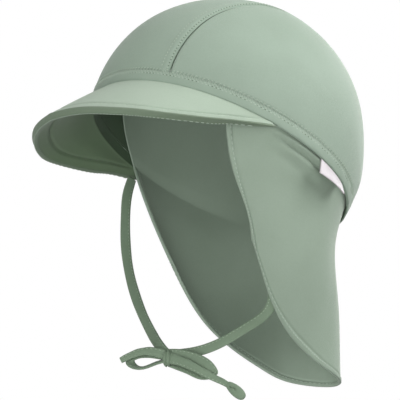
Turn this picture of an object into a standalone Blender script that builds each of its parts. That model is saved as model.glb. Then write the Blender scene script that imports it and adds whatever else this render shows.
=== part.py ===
"""Toddler's legionnaire sun cap: three-panel crown, padded peak, neck flap and tie straps.

Metres, +Z up, the forehead faces -Y and the wearer's left is +X. The origin is the centre of the
head opening, on the crown's axis, where the cap sits on a head.
"""

import math

import bmesh
import bpy
import numpy as np
from mathutils import Vector

# Crown
HEAD_HALF_WIDTH = 0.0738    # crown axis to the side, at the widest level
HEAD_REACH_FRONT = 0.0860   # crown axis to the forehead
HEAD_REACH_BACK = 0.0808    # crown axis to the back of the head
WIDEST_LEVEL = 0.0155       # the widest level lies this far above the opening's centre
CROWN_RISE = 0.0827         # widest level to the top
CROWN_FALL = 0.0925         # widest level to where the dome would close below
DOME_POWER = 2.1            # 2 is an ellipsoid, more is boxier
NAPE_TUCK = 0.060           # share by which the nape is drawn in at its lowest
NAPE_TUCK_LEVEL = -0.0050   # the drawing in begins at this level
NAPE_TUCK_DEPTH = 0.0280    # and is full this far below it
CROWN_CLOTH = 0.0015
SEAM_GAP = 0.0003

# Hem of the head opening
HEM_TILT = math.radians(23.5)
HEM_NAPE_DIP = 0.0070       # how far the hem dips below its slope at the very back
HEM_HEIGHT = 0.0060
HEM_WALL = 0.0020
HEM_PROUD = 0.0003          # the turned band stands out from the panels
LAYER_GAP = 0.0004

# Peak
PEAK_REACH = 0.0350         # from the forehead to the tip
PEAK_DROP = 0.0220          # from the hem at the forehead to the tip
PEAK_HALF_ANGLE = math.radians(78)
PEAK_EDGE = 0.0034
PEAK_INNER_SHARE = 0.42     # thickness where it is sewn in, as a share of its edge
PEAK_ARCH = 0.0004

# Neck flap
FLAP_CLOTH = 0.0010
FLAP_LENGTH = 0.0930
FACING_LEVEL = 0.0560       # the flap's cloth runs on up inside the crown to this level
FACING_EASE = 0.0007        # extra room between the facing and the panels
FOLD_DEPTH = 0.0026         # the gathered fold under the hem, on the wearer's left

# Label
LABEL_CLOTH = 0.0010
LABEL_HEIGHT = 0.0090
LABEL_FROM = math.radians(105)
LABEL_TO = math.radians(120)
LABEL_LEAN = 0.0008

# Tie straps and bow
STRAP_WIDTH = 0.0058
STRAP_THICKNESS = 0.0016
KNOT = Vector((-0.0080, -0.0370, -0.1171))
KNOT_HALF_LENGTH = 0.0031
KNOT_HALF_HEIGHT = 0.0053
KNOT_HALF_DEPTH = 0.0042
TAIL_END_LENGTH = 0.0140
TAIL_END_WIDTH = 0.0066
TAIL_END_THICKNESS = 0.0036
TAIL_END_DIP = math.radians(42)

# The bow lies along ALONG, and its broad side faces OUT.
ALONG = Vector((0.7071, 0.7071, 0.0))
OUT = Vector((0.7071, -0.7071, 0.0))
UP = Vector((0.0, 0.0, 1.0))

# Half-width of the centre panel, as a share of HEAD_HALF_WIDTH.
# station 0 is the forehead hem, 0.5 the top and 1 the nape hem.
SEAM_TABLE = [
    # station, half_width
    (0.00, 0.570),
    (0.25, 0.545),
    (0.50, 0.425),
    (0.75, 0.320),
    (1.00, 0.280),
]

# Rim of the peak for one half, the other mirrors it. x is a share of HEAD_HALF_WIDTH, reach is
# y in front of the crown's axis as a share of HEAD_REACH_FRONT + PEAK_REACH, drop is below the
# forehead hem as a share of PEAK_DROP.
PEAK_RIM = [
    # station, x, reach, drop
    (0.00, 0.000, 1.000, 1.000),
    (0.20, 0.345, 0.962, 1.070),
    (0.36, 0.590, 0.886, 1.200),
    (0.50, 0.742, 0.803, 1.295),
    (0.65, 0.850, 0.678, 1.380),
    (0.80, 0.930, 0.446, 1.405),
    (0.92, 0.955, 0.300, 1.385),
    (1.00, 0.992, 0.130, 1.400),
]

# The flap below the hem. side is -1 at the wearer's right front edge, 0 at the nape and 1 at the
# left front edge. x is a share of HEAD_HALF_WIDTH, y of HEAD_REACH_BACK, z of FLAP_LENGTH.
FLAP_SIDES = (-1.0, -0.72, -0.42, -0.20, 0.0, 0.20, 0.42, 0.72, 1.0)
FLAP_TABLE = {
    "under_hem": [
        # x, y, z
        (-0.813, -0.312, -0.039),
        (-0.835, 0.110, -0.262),
        (-0.610, 0.560, -0.420),
        (-0.345, 0.705, -0.520),
        (0.000, 0.815, -0.560),
        (0.350, 0.695, -0.520),
        (0.620, 0.510, -0.425),
        (0.845, 0.015, -0.240),
        (0.790, -0.465, -0.102),
    ],
    "neck": [
        (-0.705, -0.250, -0.291),
        (-0.700, 0.100, -0.610),
        (-0.520, 0.560, -0.760),
        (-0.300, 0.750, -0.860),
        (0.000, 0.860, -0.890),
        (0.310, 0.740, -0.860),
        (0.530, 0.530, -0.770),
        (0.705, 0.040, -0.620),
        (0.705, -0.294, -0.377),
    ],
    "bottom": [
        (-0.623, -0.140, -0.552),
        (-0.490, 0.085, -0.945),
        (-0.350, 0.460, -1.205),
        (-0.270, 0.710, -1.292),
        (0.000, 0.915, -1.325),
        (0.270, 0.710, -1.298),
        (0.358, 0.450, -1.215),
        (0.508, 0.088, -1.000),
        (0.644, -0.187, -0.591),
    ],
}
FLAP_ROWS = 24
FLAP_STATIONS = {
    "facing": 0 / FLAP_ROWS,
    "hem": 7 / FLAP_ROWS,
    "under_hem": 11 / FLAP_ROWS,
    "neck": 17 / FLAP_ROWS,
    "bottom": FLAP_ROWS / FLAP_ROWS,
}
# Angle of the flap's front edges from the forehead, at the facing's top and at the hem.
FLAP_EDGE_ANGLES = {"facing": (-56.0, 50.0), "hem": (-73.0, 59.5)}
# The gathered fold: where it starts and ends round the head, in side stations.
FOLD_SIDES = (0.28, 0.86)

# Routes of the straps: points and the way their broad side faces.
STRAP_RIGHT_ROUTE = [
    # x, y, z, facing_x, facing_y
    (-0.0690, -0.0225, 0.0037, 1.0, -0.05),
    (-0.0668, -0.0290, -0.0050, 0.95, -0.30),
    (-0.0625, -0.0332, -0.0201, 0.85, -0.53),
    (-0.0583, -0.0357, -0.0368, 0.85, -0.53),
    (-0.0538, -0.0370, -0.0512, 0.85, -0.53),
    (-0.0405, -0.0384, -0.0771, 0.82, -0.57),
    (-0.0324, -0.0386, -0.0889, 0.78, -0.62),
    (-0.0232, -0.0387, -0.1001, 0.74, -0.67),
    (-0.0140, -0.0394, -0.1087, 0.71, -0.71),
    (-0.0108, -0.0399, -0.1109, 0.71, -0.71),
]
STRAP_LEFT_ROUTE = [
    (0.0640, -0.0275, 0.0090, 1.0, -0.40),
    (0.0575, -0.0215, -0.0090, 1.0, -0.25),
    (0.0500, -0.0110, -0.0370, 1.0, -0.20),
    (0.0430, -0.0010, -0.0640, 1.0, -0.30),
    (0.0370, 0.0060, -0.0810, 0.9, -0.45),
    (0.0300, 0.0075, -0.0905, 0.8, -0.60),
    (0.0210, -0.0020, -0.1005, 0.75, -0.66),
    (0.0120, -0.0129, -0.1086, 0.71, -0.71),
    (0.0009, -0.0233, -0.1135, 0.71, -0.71),
    (-0.0073, -0.0324, -0.1158, 0.71, -0.71),
]

# The bow's loops and tails in its own directions, in metres from the knot's middle: along, up,
# out, then how far the broad side turns from facing out (0) to facing up (1).
LOOP_FRONT_ROUTE = [
    # along, up, out, turn
    (-0.0036, 0.0018, -0.0036, 0.0),
    (-0.0110, 0.0030, -0.0034, 0.0),
    (-0.0180, 0.0030, -0.0022, 0.3),
    (-0.0232, -0.0008, -0.0008, 0.5),
    (-0.0192, -0.0050, 0.0004, 0.8),
    (-0.0132, -0.0056, 0.0006, 1.0),
    (-0.0074, -0.0042, 0.0004, 1.0),
    (-0.0030, -0.0036, 0.0002, 1.0),
]
LOOP_REAR_ROUTE = [
    (0.0034, 0.0020, 0.0004, 0.0),
    (0.0120, 0.0020, 0.0006, 0.0),
    (0.0205, -0.0012, 0.0006, 0.1),
    (0.0258, -0.0062, 0.0002, 0.4),
    (0.0268, -0.0105, -0.0008, 0.7),
    (0.0222, -0.0126, -0.0018, 0.9),
    (0.0130, -0.0098, -0.0023, 1.0),
    (0.0036, -0.0046, -0.0024, 1.0),
]
TAIL_SHORT_ROUTE = [
    (-0.0034, 0.0018, 0.0021, 0.0),
    (-0.0080, 0.0036, 0.0023, 0.0),
    (-0.0140, 0.0040, 0.0022, 0.0),
    (-0.0190, 0.0030, 0.0022, 0.0),
    (-0.0275, -0.0006, 0.0022, 0.0),
]
TAIL_LONG_ROUTE = [
    (0.0036, -0.0010, 0.0024, 0.0),
    (0.0120, -0.0046, 0.0033, 0.0),
    (0.0200, -0.0092, 0.0035, 0.0),
    (0.0280, -0.0136, 0.0028, 0.0),
    (0.0338, -0.0166, 0.0026, 0.0),
    (0.0356, -0.0178, 0.0026, 0.0),
]

COLLECTION_NAME = "legionnaire_cap"


def spline(keys, values, at):
    """Smooth curve through the values at the keys, a natural cubic, read at one or more places."""
    keys = np.asarray(keys, float)
    values = np.asarray(values, float)
    if values.ndim == 1:
        values = values[:, None]
    count = len(keys)
    step = np.diff(keys)
    system = np.zeros((count, count))
    right = np.zeros((count, values.shape[1]))
    system[0, 0] = system[-1, -1] = 1.0
    for i in range(1, count - 1):
        system[i, i - 1] = step[i - 1]
        system[i, i] = 2 * (step[i - 1] + step[i])
        system[i, i + 1] = step[i]
        right[i] = 6 * ((values[i + 1] - values[i]) / step[i]
                        - (values[i] - values[i - 1]) / step[i - 1])
    bend = np.linalg.solve(system, right)
    at = np.atleast_1d(np.asarray(at, float))
    i = np.clip(np.searchsorted(keys, at, side="right") - 1, 0, count - 2)
    h = step[i][:, None]
    before = (at - keys[i])[:, None]
    after = h - before
    return (bend[i] * after ** 3 / (6 * h) + bend[i + 1] * before ** 3 / (6 * h)
            + (values[i] / h - bend[i] * h / 6) * after
            + (values[i + 1] / h - bend[i + 1] * h / 6) * before)


def smoothstep(x):
    """Ease from 0 to 1."""
    x = min(max(x, 0.0), 1.0)
    return x * x * (3 - 2 * x)


def dome_radius(direction, inset=0.0):
    """Point of the crown's surface, moved inwards by inset, along a direction in scaled space."""
    dx, dy, dz = direction
    flat = math.hypot(dx, dy)
    reach = (flat ** DOME_POWER + abs(dz) ** DOME_POWER) ** (-1 / DOME_POWER)
    half_y = HEAD_REACH_FRONT if dy < 0 else HEAD_REACH_BACK
    half_z = CROWN_RISE if dz > 0 else CROWN_FALL
    z = dz * reach * (half_z - inset) + WIDEST_LEVEL
    reach *= nape_share(dy / max(flat, 1e-9), z)
    return Vector((
        dx * reach * (HEAD_HALF_WIDTH - inset),
        dy * reach * (half_y - inset),
        z,
    ))


def nape_share(backward, z):
    """Share of the dome's width that the drawn in nape keeps; backward is 1 at the nape."""
    low = smoothstep((NAPE_TUCK_LEVEL - z) / NAPE_TUCK_DEPTH)
    return 1 - NAPE_TUCK * low * max(backward, 0.0) ** 2


def wall_point(angle, z, inset=0.0):
    """Point of the crown's surface at an angle from the forehead and a height."""
    rise = z - WIDEST_LEVEL
    half_z = (CROWN_RISE if rise > 0 else CROWN_FALL) - inset
    share = min(abs(rise) / half_z, 0.999)
    flat = (1 - share ** DOME_POWER) ** (1 / DOME_POWER)
    backward = -math.cos(angle)
    half_y = HEAD_REACH_FRONT if backward < 0 else HEAD_REACH_BACK
    flat *= nape_share(backward, z)
    return Vector((
        math.sin(angle) * flat * (HEAD_HALF_WIDTH - inset),
        backward * flat * (half_y - inset),
        z,
    ))


def hem_level(y, above=0.0):
    """Height of the hem's lower edge, or of a line a distance above it."""
    dip = HEM_NAPE_DIP * (max(y, 0.0) / HEAD_REACH_BACK) ** 4
    return -math.tan(HEM_TILT) * y - dip + above / math.cos(HEM_TILT)


def hem_point(angle, above=0.0, inset=0.0):
    """Point of the hem line at an angle from the forehead."""
    y = -math.cos(angle) * HEAD_REACH_FRONT
    for _ in range(40):
        point = wall_point(angle, hem_level(y, above), inset)
        y = 0.5 * y + 0.5 * point.y
    return wall_point(angle, hem_level(y, above), inset)


def seam_half_width(station):
    """Half-width of the centre panel, from the forehead (0) to the nape (1)."""
    table = np.array(SEAM_TABLE)
    return float(spline(table[:, 0], table[:, 1], station)[0, 0])


def strip_direction(station, across, trim=0.0):
    """Direction in scaled space of a place on the crown's middle strip, across from -1 to 1."""
    share = across * (seam_half_width(station) - trim / HEAD_HALF_WIDTH)
    keep = math.sqrt(1 - share * share)

    def turned(pitch):
        return Vector((share, -math.cos(pitch) * keep, math.sin(pitch) * keep))

    def rises_above_hem(pitch):
        point = dome_radius(turned(pitch))
        return point.z - hem_level(point.y, HEM_HEIGHT + SEAM_GAP)

    front = bisect(rises_above_hem, -0.8, 1.2)
    back = bisect(rises_above_hem, math.pi + 0.9, math.pi - 1.2)
    return turned(front + (back - front) * station)


def bisect(rule, low, high):
    """The place between low, where the rule is under zero, and high, where it is over it."""
    for _ in range(40):
        middle = 0.5 * (low + high)
        if rule(middle) < 0:
            low = middle
        else:
            high = middle
    return 0.5 * (low + high)


def shaped_grid(name, columns, rows, place, ring=False):
    """Open surface: a grid primitive whose points are set by place(s, t), both from 0 to 1."""
    bm = bmesh.new()
    bmesh.ops.create_grid(bm, x_segments=columns, y_segments=rows, size=0.5)
    for vertex in bm.verts:
        vertex.co = place(vertex.co.x + 0.5, vertex.co.y + 0.5)
    if ring:
        bmesh.ops.remove_doubles(bm, verts=bm.verts, dist=1e-6)
    mesh = bpy.data.meshes.new(name)
    bm.to_mesh(mesh)
    bm.free()
    return add_object(name, mesh)


def add_object(name, mesh):
    """Put a mesh in the cap's collection, shaded smooth."""
    obj = bpy.data.objects.new(name, mesh)
    bpy.data.collections[COLLECTION_NAME].objects.link(obj)
    mesh.shade_smooth()
    return obj


def face_outwards(obj, inside):
    """Turn the faces of an open surface away from a point inside the cap."""
    bm = bmesh.new()
    bm.from_mesh(obj.data)
    bm.normal_update()
    total = sum((f.calc_center_median() - inside).dot(f.normal) * f.calc_area() for f in bm.faces)
    if total < 0:
        bmesh.ops.reverse_faces(bm, faces=bm.faces)
    bm.to_mesh(obj.data)
    bm.free()


def thicken(obj, thickness, offset=-1.0):
    """Give an open surface its wall, inwards for -1 and to both sides for 0."""
    wall = obj.modifiers.new("wall", "SOLIDIFY")
    wall.thickness = thickness
    wall.offset = offset
    wall.use_even_offset = True
    return wall


def dress(obj, colour, roughness=0.7):
    """Give the piece its own cloth material."""
    material = bpy.data.materials.new(obj.name + "_cloth")
    material.use_nodes = True
    shader = material.node_tree.nodes["Principled BSDF"]
    shader.inputs["Base Color"].default_value = (*colour, 1.0)
    shader.inputs["Roughness"].default_value = roughness
    shader.inputs["Metallic"].default_value = 0.0
    obj.data.materials.append(material)
    return obj


SAGE = (0.376, 0.475, 0.392)
SAGE_DEEP = (0.245, 0.335, 0.250)
LABEL_GREY = (0.560, 0.535, 0.545)


def build_centre_panel():
    """The strip that runs over the head from the forehead to the nape."""
    def place(s, t):
        return dome_radius(strip_direction(s, 2 * t - 1, trim=SEAM_GAP / 2))

    panel = shaped_grid("crown_centre_panel", 24, 6, place)
    face_outwards(panel, Vector((0, 0, WIDEST_LEVEL)))
    thicken(panel, CROWN_CLOTH)
    return dress(panel, SAGE)


def side_outline(share, side):
    """Direction of a place on a side panel's outline: along the seam, then back along the hem."""
    if share < 0.5:
        direction = strip_direction(share * 2, 1.0, trim=-SEAM_GAP / 2)
    else:
        corners = [hem_angle_at_seam(1.0), hem_angle_at_seam(0.0)]
        angle = corners[0] + (corners[1] - corners[0]) * (share * 2 - 1)
        direction = scaled_direction(hem_point(angle, HEM_HEIGHT + SEAM_GAP))
    return Vector((direction.x * side, direction.y, direction.z))


def hem_angle_at_seam(station):
    """Angle from the forehead at which the seam meets the hem."""
    corner = strip_direction(station, 1.0, trim=-SEAM_GAP / 2)
    return math.atan2(corner.x, -corner.y)


def scaled_direction(point):
    """Direction in scaled space of a point on the crown."""
    half_y = HEAD_REACH_FRONT if point.y < 0 else HEAD_REACH_BACK
    rise = point.z - WIDEST_LEVEL
    half_z = CROWN_RISE if rise > 0 else CROWN_FALL
    x, y = point.x / HEAD_HALF_WIDTH, point.y / half_y
    full = nape_share(y / math.hypot(x, y), point.z)
    return Vector((x / full, y / full, rise / half_z)).normalized()


def build_side_panel(name, side):
    """One of the two side panels, a grid drawn out to the panel's own outline."""
    middle = Vector((0.93 * side, 0.06, 0.36)).normalized()

    def place(s, t):
        x, y = 2 * s - 1, 2 * t - 1
        # The square grid is drawn to a disc, whose upper half goes to the seam.
        across, up = x * math.sqrt(1 - y * y / 2), y * math.sqrt(1 - x * x / 2)
        ring = math.hypot(across, up)
        if ring < 1e-6:
            return dome_radius(middle)
        round_it = ((math.pi - math.atan2(up, across)) / (2 * math.pi)) % 1.0
        direction = middle.slerp(side_outline(round_it, side), ring)
        return dome_radius(direction)

    panel = shaped_grid(name, 14, 14, place)
    face_outwards(panel, Vector((0, 0, WIDEST_LEVEL)))
    thicken(panel, CROWN_CLOTH)
    return dress(panel, SAGE)


def build_hem_band():
    """The turned band round the head opening."""
    def place(s, t):
        angle = 2 * math.pi * s
        return hem_point(angle, HEM_HEIGHT * t, inset=-HEM_PROUD)

    band = shaped_grid("crown_hem_band", 60, 1, place, ring=True)
    face_outwards(band, Vector((0, 0, 0)))
    thicken(band, HEM_WALL)
    return dress(band, SAGE)


def peak_point(across, out):
    """Point of the peak's upper side, across from -1 to 1, out from the hem (0) to the rim (1)."""
    side = -1 if across < 0 else 1
    station = abs(across)
    under_hem = hem_point(PEAK_HALF_ANGLE * station, above=-LAYER_GAP, inset=-0.4 * PEAK_EDGE * (
        1 - PEAK_INNER_SHARE) * smoothstep(station))
    forehead = hem_point(0.0)
    table = np.array(PEAK_RIM)
    x, reach, drop = spline(table[:, 0], table[:, 1:], station)[0]
    rim = Vector((
        x * HEAD_HALF_WIDTH,
        -reach * (HEAD_REACH_FRONT + PEAK_REACH),
        forehead.z - drop * PEAK_DROP,
    ))
    arch = PEAK_ARCH * math.sin(math.pi * out) * (1 - station ** 3)
    point = under_hem.lerp(rim, out) + Vector((0, 0, arch))
    return Vector((point.x * side, point.y, point.z))


def build_peak():
    """The curved peak, thick at its rim and thin where it is sewn in."""
    columns, rows = 36, 6

    def place(s, t):
        return peak_point(2 * s - 1, t)

    peak = shaped_grid("peak", columns, rows, place)
    face_outwards(peak, Vector((0, 0, -0.2)))
    group = peak.vertex_groups.new(name="full_thickness")
    bm = bmesh.new()
    bmesh.ops.create_grid(bm, x_segments=columns, y_segments=rows, size=0.5)
    for vertex in bm.verts:
        out, across = vertex.co.y + 0.5, abs(2 * vertex.co.x)
        near_end = smoothstep((1 - across) / 0.18)
        full = smoothstep(out / 0.5) * near_end
        group.add([vertex.index], PEAK_INNER_SHARE + (1 - PEAK_INNER_SHARE) * full, "REPLACE")
    bm.free()
    wall = thicken(peak, PEAK_EDGE)
    wall.vertex_group = group.name
    edge = peak.modifiers.new("rolled_edge", "BEVEL")
    edge.width = 0.0006
    edge.segments = 2
    edge.limit_method = "ANGLE"
    edge.angle_limit = math.radians(60)
    edge.use_clamp_overlap = True
    return dress(peak, SAGE)


def flap_rows(side):
    """Points of one lengthwise line of the flap, from the facing's top to the bottom edge."""
    inset = HEM_WALL - HEM_PROUD + LAYER_GAP
    points = []
    for name in ("facing", "hem"):
        right, left = FLAP_EDGE_ANGLES[name]
        edge = math.radians(left if side >= 0 else -right)
        angle = math.pi - abs(side) * (math.pi - edge)
        if name == "facing":
            point = wall_point(angle, FACING_LEVEL, inset)
        else:
            point = hem_point(angle, 0.0, inset)
        points.append(Vector((math.copysign(point.x, side), point.y, point.z)))
    sizes = np.array([HEAD_HALF_WIDTH, HEAD_REACH_BACK, FLAP_LENGTH])
    for name in ("under_hem", "neck", "bottom"):
        shares = spline(FLAP_SIDES, FLAP_TABLE[name], side)[0]
        points.append(Vector(shares * sizes))
    return points


def flap_point(side, down):
    """Point of the flap's outer face, side from -1 to 1 and down from 0 to 1."""
    stations = list(FLAP_STATIONS.values())
    points = flap_rows(side)
    hem_station = FLAP_STATIONS["hem"]
    if down <= hem_station:
        top, hem = points[0], points[1]
        share = down / hem_station
        # The facing leaves the panels a little room as soon as it is clear of the hem.
        inset = HEM_WALL - HEM_PROUD + LAYER_GAP + FACING_EASE * min((1 - share) * FLAP_ROWS / 4, 1)
        z = top.z + (hem.z - top.z) * share
        edge_top, edge_hem = (math.atan2(abs(p.x), -p.y) for p in (top, hem))
        angle = edge_top + (edge_hem - edge_top) * share
        flat = wall_point(polar_to_wall(angle), z, inset)
        return Vector((math.copysign(flat.x, side), flat.y, z))
    point = Vector(spline(stations[1:], [tuple(p) for p in points[1:]], down)[0])
    # The gathered fold: a ridge under the hem and a valley beside it.
    start, end = FOLD_SIDES
    along = (side - start) / (end - start)
    if 0 < along < 1:
        below = (down - hem_station) / (FLAP_STATIONS["under_hem"] - hem_station)
        wave = math.exp(-((below - 0.45) / 0.22) ** 2)
        outward = Vector((point.x, point.y, 0)).normalized()
        point -= outward * FOLD_DEPTH * wave * math.sin(math.pi * along) ** 2
    return point


def polar_to_wall(angle):
    """The wall's own angle for a bearing seen from the crown's axis."""
    forward = -math.cos(angle)
    half_y = HEAD_REACH_FRONT if forward < 0 else HEAD_REACH_BACK
    return math.atan2(math.sin(angle) / HEAD_HALF_WIDTH, math.cos(angle) / half_y)


def build_flap():
    """The one sheet of the neck flap, with its facing inside the crown."""
    def place(s, t):
        return flap_point(2 * s - 1, t)

    flap = shaped_grid("neck_flap", 40, FLAP_ROWS, place)
    face_outwards(flap, Vector((0, 0, 0)))
    thicken(flap, FLAP_CLOTH)
    return dress(flap, SAGE)


def build_label():
    """The small bare label that hangs from under the hem."""
    def place(s, t):
        angle = LABEL_FROM + (LABEL_TO - LABEL_FROM) * s
        top = hem_point(angle, above=-LAYER_GAP, inset=0.0)
        outward = Vector((top.x, top.y, 0)).normalized()
        return top + outward * LABEL_LEAN * t - UP * LABEL_HEIGHT * t

    label = shaped_grid("label_tag", 10, 3, place)
    face_outwards(label, Vector((0, 0, 0)))
    thicken(label, LABEL_CLOTH)
    return dress(label, LABEL_GREY, roughness=0.45)


def build_ribbon(name, points, faces, width=STRAP_WIDTH, width_end=None, segments=26):
    """A flat folded strap swept along a smooth route, its broad side facing the given way."""
    width_end = width if width_end is None else width_end
    lengths = [0.0]
    for a, b in zip(points, points[1:]):
        lengths.append(lengths[-1] + (b - a).length)
    keys = np.array(lengths) / lengths[-1]

    def centre(share):
        return Vector(spline(keys, [tuple(p) for p in points], share)[0])

    def place(s, t):
        step = 0.004
        tangent = (centre(min(s + step, 1)) - centre(max(s - step, 0))).normalized()
        facing = Vector(spline(keys, [tuple(f) for f in faces], s)[0])
        across = tangent.cross(facing).normalized()
        here = width + (width_end - width) * s
        return centre(s) + across * here * (t - 0.5)

    strap = shaped_grid(name, segments, 2, place)
    thicken(strap, STRAP_THICKNESS, offset=0.0)
    return dress(strap, SAGE_DEEP)


def strap_lists(route):
    """Points and facing directions of a strap's route."""
    points = [Vector(row[:3]) for row in route]
    faces = [Vector((row[3], row[4], 0.0)).normalized() for row in route]
    return points, faces


def bow_place(along, up, out):
    """A place near the knot, in the cap's frame."""
    return KNOT + ALONG * along + UP * up + OUT * out


def bow_lists(route):
    """Points and facing directions of a loop or a tail."""
    points = [bow_place(*row[:3]) for row in route]
    faces = []
    for along, up, out, turn in route:
        quarter = 0.5 * math.pi * turn
        faces.append(OUT * math.cos(quarter) + UP * math.sin(quarter))
    return points, faces


def build_soft_lump(name, middle, along, up, out, halves):
    """A rounded soft form from a coarse cage, its half sizes along its own three directions."""
    bm = bmesh.new()
    bmesh.ops.create_cube(bm, size=2.0)
    for vertex in bm.verts:
        a, b, c = (share * half for share, half in zip(vertex.co, halves))
        vertex.co = middle + along * a + up * b + out * c
    bmesh.ops.recalc_face_normals(bm, faces=bm.faces)
    mesh = bpy.data.meshes.new(name)
    bm.to_mesh(mesh)
    bm.free()
    lump = add_object(name, mesh)
    soft = lump.modifiers.new("rounding", "SUBSURF")
    soft.levels = soft.render_levels = 2
    return dress(lump, SAGE_DEEP)


def build_bow():
    """The knot, two loops, a short and a long tail, and the folded end of the long one."""
    # A cage shrinks when it is rounded, so it is drawn larger than the knot.
    grow = 1.19
    build_soft_lump("bow_knot", KNOT, ALONG, UP, OUT,
                    (KNOT_HALF_LENGTH * grow, KNOT_HALF_HEIGHT * grow, KNOT_HALF_DEPTH * grow))
    # Beside the knot each strand stops one clearance short of it.
    points, faces = bow_lists(LOOP_FRONT_ROUTE)
    build_ribbon("bow_loop_front", points, faces, width=STRAP_WIDTH * 0.95, segments=24)
    points, faces = bow_lists(LOOP_REAR_ROUTE)
    build_ribbon("bow_loop_rear", points, faces, width=STRAP_WIDTH * 0.95, segments=24)
    points, faces = bow_lists(TAIL_SHORT_ROUTE)
    build_ribbon("bow_tail_short", points, faces, width_end=STRAP_WIDTH * 0.62, segments=10)
    points, faces = bow_lists(TAIL_LONG_ROUTE)
    build_ribbon("bow_tail_long", points, faces, width_end=STRAP_WIDTH * 0.60, segments=12)
    end = points[-1]
    along = (ALONG * math.cos(TAIL_END_DIP) - UP * math.sin(TAIL_END_DIP)).normalized()
    up = OUT.cross(along).normalized()
    middle = end + along * (LAYER_GAP + TAIL_END_LENGTH / 2)
    build_soft_lump("tail_end_knot", middle, along, up, OUT,
                    (TAIL_END_LENGTH / 2 * grow, TAIL_END_WIDTH / 2 * grow,
                     TAIL_END_THICKNESS / 2 * grow))


def main():
    """Clear the scene and build the cap."""
    for obj in list(bpy.data.objects):
        bpy.data.objects.remove(obj, do_unlink=True)
    collection = bpy.data.collections.new(COLLECTION_NAME)
    bpy.context.scene.collection.children.link(collection)
    build_centre_panel()
    build_side_panel("crown_side_panel_left", 1)
    build_side_panel("crown_side_panel_right", -1)
    build_hem_band()
    build_peak()
    build_flap()
    build_label()
    points, faces = strap_lists(STRAP_RIGHT_ROUTE)
    build_ribbon("tie_strap_right", points, faces, segments=34)
    points, faces = strap_lists(STRAP_LEFT_ROUTE)
    build_ribbon("tie_strap_left", points, faces, segments=38)
    build_bow()


main()
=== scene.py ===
"""Looks of a toddler's legionnaire sun cap in sage swim knit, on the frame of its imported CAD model."""

from __future__ import annotations

import logging
import math
from collections.abc import Callable, Sequence
from dataclasses import dataclass, field
from enum import Enum

import bmesh
import bpy
import numpy as np
from mathutils import Matrix, Vector, noise


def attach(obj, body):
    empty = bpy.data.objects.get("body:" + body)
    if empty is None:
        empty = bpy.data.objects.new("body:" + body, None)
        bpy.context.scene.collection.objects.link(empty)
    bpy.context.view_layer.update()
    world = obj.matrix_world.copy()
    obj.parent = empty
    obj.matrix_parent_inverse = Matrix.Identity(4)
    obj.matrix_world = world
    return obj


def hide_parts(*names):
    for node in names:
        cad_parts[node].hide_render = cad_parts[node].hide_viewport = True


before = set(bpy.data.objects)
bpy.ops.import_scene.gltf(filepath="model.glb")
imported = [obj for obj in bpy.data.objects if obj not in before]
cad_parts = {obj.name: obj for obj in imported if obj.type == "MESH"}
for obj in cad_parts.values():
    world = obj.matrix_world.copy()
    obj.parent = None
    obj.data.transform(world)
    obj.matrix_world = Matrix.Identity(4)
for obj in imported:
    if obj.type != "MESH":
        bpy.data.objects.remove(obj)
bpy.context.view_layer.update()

LOG = logging.getLogger("cap")
BODY = "root"
UV_NAME = "cloth_mm"
TURN = 2 * math.pi
UP = Vector((0.0, 0.0, 1.0))
# The bow lies along ALONG, and its broad side faces OUT.
ALONG = Vector((0.7071, 0.7071, 0.0))
OUT = Vector((0.7071, -0.7071, 0.0))

Place = Callable[[float, float], Vector]
# A point of the cloth with the cloth's outward direction there.
Seat = tuple[Vector, Vector]
Rows = tuple[tuple[float, ...], ...]


class Slot(Enum):
    """Material slots."""

    SHELL = "shell_cloth"
    TIE = "tie_cloth"
    LABEL = "label_cloth"


def linear(code: str) -> tuple[float, float, float, float]:
    """Turn an sRGB hex colour into linear values.

    Args:
        code: Colour such as "#a9b8ab".

    Returns:
        Red, green, blue and alpha, from 0 to 1.
    """
    channels = [int(code[i:i + 2], 16) / 255 for i in (1, 3, 5)]
    lin = [c / 12.92 if c <= 0.04045 else ((c + 0.055) / 1.055) ** 2.4 for c in channels]
    return lin[0], lin[1], lin[2], 1.0


def spline(keys: Sequence[float], values: Sequence, at: float) -> np.ndarray:
    """Read a natural cubic through values at keys.

    Args:
        keys: Rising places of the values.
        values: One value or one row of values for each key.
        at: The place to read.

    Returns:
        The row of values there.
    """
    keys = np.asarray(keys, float)
    values = np.asarray(values, float)
    if values.ndim == 1:
        values = values[:, None]
    marker = (keys.tobytes(), values.tobytes())
    if marker not in _BENDS:
        count = len(keys)
        step = np.diff(keys)
        system = np.zeros((count, count))
        right = np.zeros((count, values.shape[1]))
        system[0, 0] = system[-1, -1] = 1.0
        for i in range(1, count - 1):
            system[i, i - 1:i + 2] = step[i - 1], 2 * (step[i - 1] + step[i]), step[i]
            right[i] = 6 * ((values[i + 1] - values[i]) / step[i]
                            - (values[i] - values[i - 1]) / step[i - 1])
        _BENDS[marker] = np.linalg.solve(system, right)
    bend = _BENDS[marker]
    i = int(np.clip(np.searchsorted(keys, at, side="right") - 1, 0, len(keys) - 2))
    h = keys[i + 1] - keys[i]
    before = at - keys[i]
    after = h - before
    return (bend[i] * after ** 3 / (6 * h) + bend[i + 1] * before ** 3 / (6 * h)
            + (values[i] / h - bend[i] * h / 6) * after
            + (values[i + 1] / h - bend[i + 1] * h / 6) * before)


_BENDS: dict[tuple[bytes, bytes], np.ndarray] = {}


def smoothstep(x: float) -> float:
    """Ease from 0 to 1."""
    x = min(max(x, 0.0), 1.0)
    return x * x * (3 - 2 * x)


def bump(x: float, middle: float, width: float) -> float:
    """A smooth hill of height 1 round middle."""
    return math.exp(-((x - middle) / width) ** 2)


def squared(value: float, power: float) -> float:
    """A signed power under 1, which squares off a round section."""
    return math.copysign(abs(value) ** power, value)


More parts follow.
